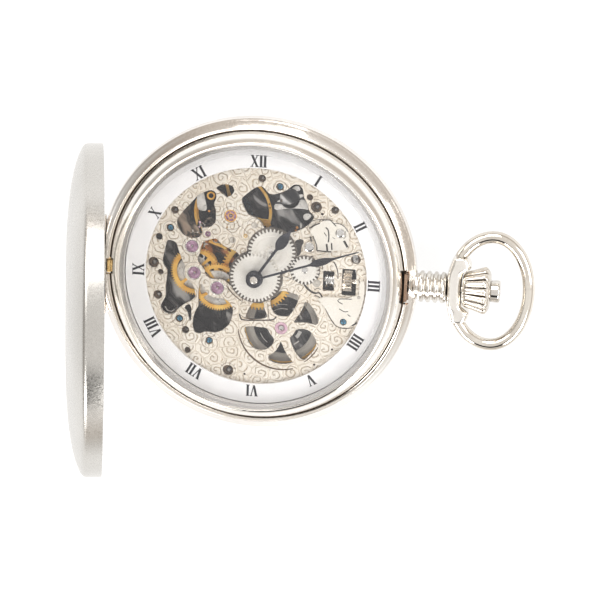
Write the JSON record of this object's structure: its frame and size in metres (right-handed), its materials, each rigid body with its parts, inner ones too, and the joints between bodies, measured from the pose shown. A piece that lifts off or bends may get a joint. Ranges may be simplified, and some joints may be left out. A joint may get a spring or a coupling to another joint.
{
  "type": "pocket watch",
  "caption": "Hunter-case pocket watch with a sprung hinged lid, ribbed pendant with bow and fluted crown, and an open dial that shows a hand-wound skeleton movement.",
  "frame": {"origin": "centre of the flat on the back cover, on which the watch lies", "axes": "+Z out of the dial, +X towards the pendant and crown at 3 o'clock, +Y towards 12 o'clock"},
  "size_m": [0.0708, 0.05, 0.0548],
  "materials": {
    "case_steel": "polished, warm silver",
    "crystal": "clear, bevelled",
    "dial_white": "satin white enamel",
    "nickel": "champagne nickel, fine engraving",
    "gilt": "gilt, fine brushed",
    "dark_steel": "gunmetal",
    "steel": "polished steel",
    "ruby": "synthetic ruby, pale purple",
    "blued": "heat-blued steel",
    "brass": "plain brass"
  },
  "bodies": {
    "case": {"case_middle": "case_steel", "pendant_neck": "case_steel", "bow_collar": "case_steel", "bow_pin_upper": "case_steel", "bow_pin_lower": "case_steel", "front_bezel": "case_steel", "back_cover": "case_steel", "crystal": "crystal", "dial_ring": "dial_white", "main_plate": "nickel", "keyless_cover": "nickel", "setting_lever_spring": "nickel", "barrel_bridge": "nickel", "train_bridge": "nickel", "pallet_bridge": "nickel", "balance_cock": "nickel", "movement_ring": "steel", "cover_screw": "steel", "lever_screw": "steel", "jewel_third": "ruby", "jewel_fourth": "ruby", "jewel_escape": "ruby", "jewel_pallet": "ruby", "jewel_balance": "ruby", "jewel_barrel": "ruby", "blued_screw_1": "blued", "blued_screw_2": "blued", "blued_screw_3": "blued", "blued_screw_4": "blued", "blued_screw_5": "blued", "lid_spring": "brass", "hinge_pin": "brass"},
    "lid": {"front_lid": "case_steel"},
    "bow": {"bow": "case_steel"},
    "clutch": {"sliding_clutch": "steel", "winding_pinion": "steel"},
    "crown_stem": {"crown": "case_steel", "winding_stem": "steel"},
    "pusher": {"pusher": "case_steel"},
    "catch": {"lid_catch": "brass"},
    "lever": {"setting_lever": "steel"},
    "minute_hand": {"minute_hand": "dark_steel", "cannon_pinion": "steel"},
    "hour_hand": {"hour_hand": "dark_steel", "hour_wheel": "nickel"},
    "minute_wheel": {"minute_wheel": "nickel"},
    "setting_wheel": {"setting_wheel": "nickel"},
    "crown_wheel": {"crown_wheel": "steel"},
    "barrel_arbor": {"barrel_arbor": "steel", "ratchet_wheel": "steel"},
    "click": {"click": "steel"},
    "barrel": {"barrel_drum": "dark_steel", "mainspring": "steel"},
    "centre_wheel": {"centre_wheel": "gilt"},
    "third_wheel": {"third_wheel": "gilt"},
    "fourth_wheel": {"fourth_wheel": "gilt"},
    "escape_wheel": {"escape_wheel": "steel"},
    "pallet_fork": {"pallet_fork": "steel"},
    "balance": {"balance_wheel": "gilt", "hairspring": "steel"}
  },
  "joints": [
    {"name": "lid_hinge", "type": "hinge", "parent": "case", "child": "lid", "pos_m": [-0.02436, 0, 0.00692], "axis": [0, 1, 0], "range_deg": [0, 76.3], "stiffness_Nm_per_rad": 0.003, "springref_deg": -25.78},
    {"name": "bow_hinge", "type": "hinge", "parent": "case", "child": "bow", "pos_m": [0.03155, 0, 0.00597], "axis": [0, 1, 0], "range_deg": [-80, 80]},
    {"name": "crown_turn", "type": "hinge", "parent": "case", "child": "clutch", "pos_m": [0.012, 0, 0.00597], "axis": [1, 0, 0], "continuous": true},
    {"name": "crown_pull", "type": "slide", "parent": "clutch", "child": "crown_stem", "axis": [1, 0, 0], "range_m": [0, 0.001]},
    {"name": "pusher_press", "type": "slide", "parent": "crown_stem", "child": "pusher", "axis": [1, 0, 0], "range_m": [-0.0011, 0], "stiffness_N_per_m": 400},
    {"name": "catch_release", "type": "slide", "parent": "case", "child": "catch", "axis": [1, 0, 0], "range_m": [-0.00033, 0]},
    {"name": "setting_lever_pivot", "type": "hinge", "parent": "case", "child": "lever", "pos_m": [0.01285, 0.0079, 0.0067], "axis": [0, 0, 1], "range_deg": [0, 8]},
    {"name": "minute_hand_turn", "type": "hinge", "parent": "case", "child": "minute_hand", "pos_m": [0, 0, 0.008], "axis": [0, 0, 1], "continuous": true},
    {"name": "hour_hand_turn", "type": "hinge", "parent": "case", "child": "hour_hand", "pos_m": [0, 0, 0.008], "axis": [0, 0, 1], "continuous": true},
    {"name": "minute_wheel_turn", "type": "hinge", "parent": "case", "child": "minute_wheel", "pos_m": [0.0024, 0.00415, 0.008], "axis": [0, 0, 1], "continuous": true},
    {"name": "setting_wheel_turn", "type": "hinge", "parent": "case", "child": "setting_wheel", "pos_m": [0.00762, 0.00162, 0.008], "axis": [0, 0, 1], "continuous": true},
    {"name": "crown_wheel_turn", "type": "hinge", "parent": "case", "child": "crown_wheel", "pos_m": [0.011, 0, 0.0038], "axis": [0, 0, 1], "continuous": true},
    {"name": "ratchet_turn", "type": "hinge", "parent": "case", "child": "barrel_arbor", "pos_m": [0.0042, -0.00805, 0.005], "axis": [0, 0, 1], "continuous": true},
    {"name": "click_pivot", "type": "hinge", "parent": "case", "child": "click", "pos_m": [-0.0036, -0.0137, 0.0038], "axis": [0, 0, 1], "range_deg": [-8, 0], "stiffness_Nm_per_rad": 0.0000001},
    {"name": "barrel_turn", "type": "hinge", "parent": "case", "child": "barrel", "pos_m": [0.0042, -0.00805, 0.005], "axis": [0, 0, 1], "continuous": true},
    {"name": "centre_wheel_turn", "type": "hinge", "parent": "case", "child": "centre_wheel", "pos_m": [0, 0, 0.006], "axis": [0, 0, 1], "continuous": true},
    {"name": "third_wheel_turn", "type": "hinge", "parent": "case", "child": "third_wheel", "pos_m": [-0.006, -0.0023, 0.006], "axis": [0, 0, 1], "continuous": true},
    {"name": "fourth_wheel_turn", "type": "hinge", "parent": "case", "child": "fourth_wheel", "pos_m": [-0.0097, -0.00012, 0.006], "axis": [0, 0, 1], "continuous": true},
    {"name": "escape_wheel_turn", "type": "hinge", "parent": "case", "child": "escape_wheel", "pos_m": [-0.01015, 0.0041, 0.006], "axis": [0, 0, 1], "continuous": true},
    {"name": "pallet_fork_rock", "type": "hinge", "parent": "case", "child": "pallet_fork", "pos_m": [-0.0077, 0.00625, 0.0055], "axis": [0, 0, 1], "range_deg": [-4, 4]},
    {"name": "balance_swing", "type": "hinge", "parent": "case", "child": "balance", "pos_m": [-0.0042, 0.0094, 0.005], "axis": [0, 0, 1], "range_deg": [-135, 135], "stiffness_Nm_per_rad": 0.0000007}
  ],
  "couplings": [
    {"joint": "catch_release", "follows": "pusher_press", "ratio": 0.3},
    {"joint": "setting_lever_pivot", "follows": "crown_pull", "rad_per_m": 120},
    {"joint": "hour_hand_turn", "follows": "minute_hand_turn", "ratio": 0.083333},
    {"joint": "minute_wheel_turn", "follows": "minute_hand_turn", "ratio": -0.33333},
    {"joint": "setting_wheel_turn", "follows": "minute_hand_turn", "ratio": 0.54545},
    {"joint": "crown_wheel_turn", "follows": "crown_turn", "ratio": 0.6},
    {"joint": "ratchet_turn", "follows": "crown_turn", "ratio": -0.27273},
    {"joint": "escape_wheel_turn", "follows": "fourth_wheel_turn", "ratio": -10},
    {"joint": "third_wheel_turn", "follows": "fourth_wheel_turn", "ratio": -0.13333},
    {"joint": "centre_wheel_turn", "follows": "fourth_wheel_turn", "ratio": 0.016667},
    {"joint": "barrel_turn", "follows": "fourth_wheel_turn", "ratio": -0.002381}
  ]
}
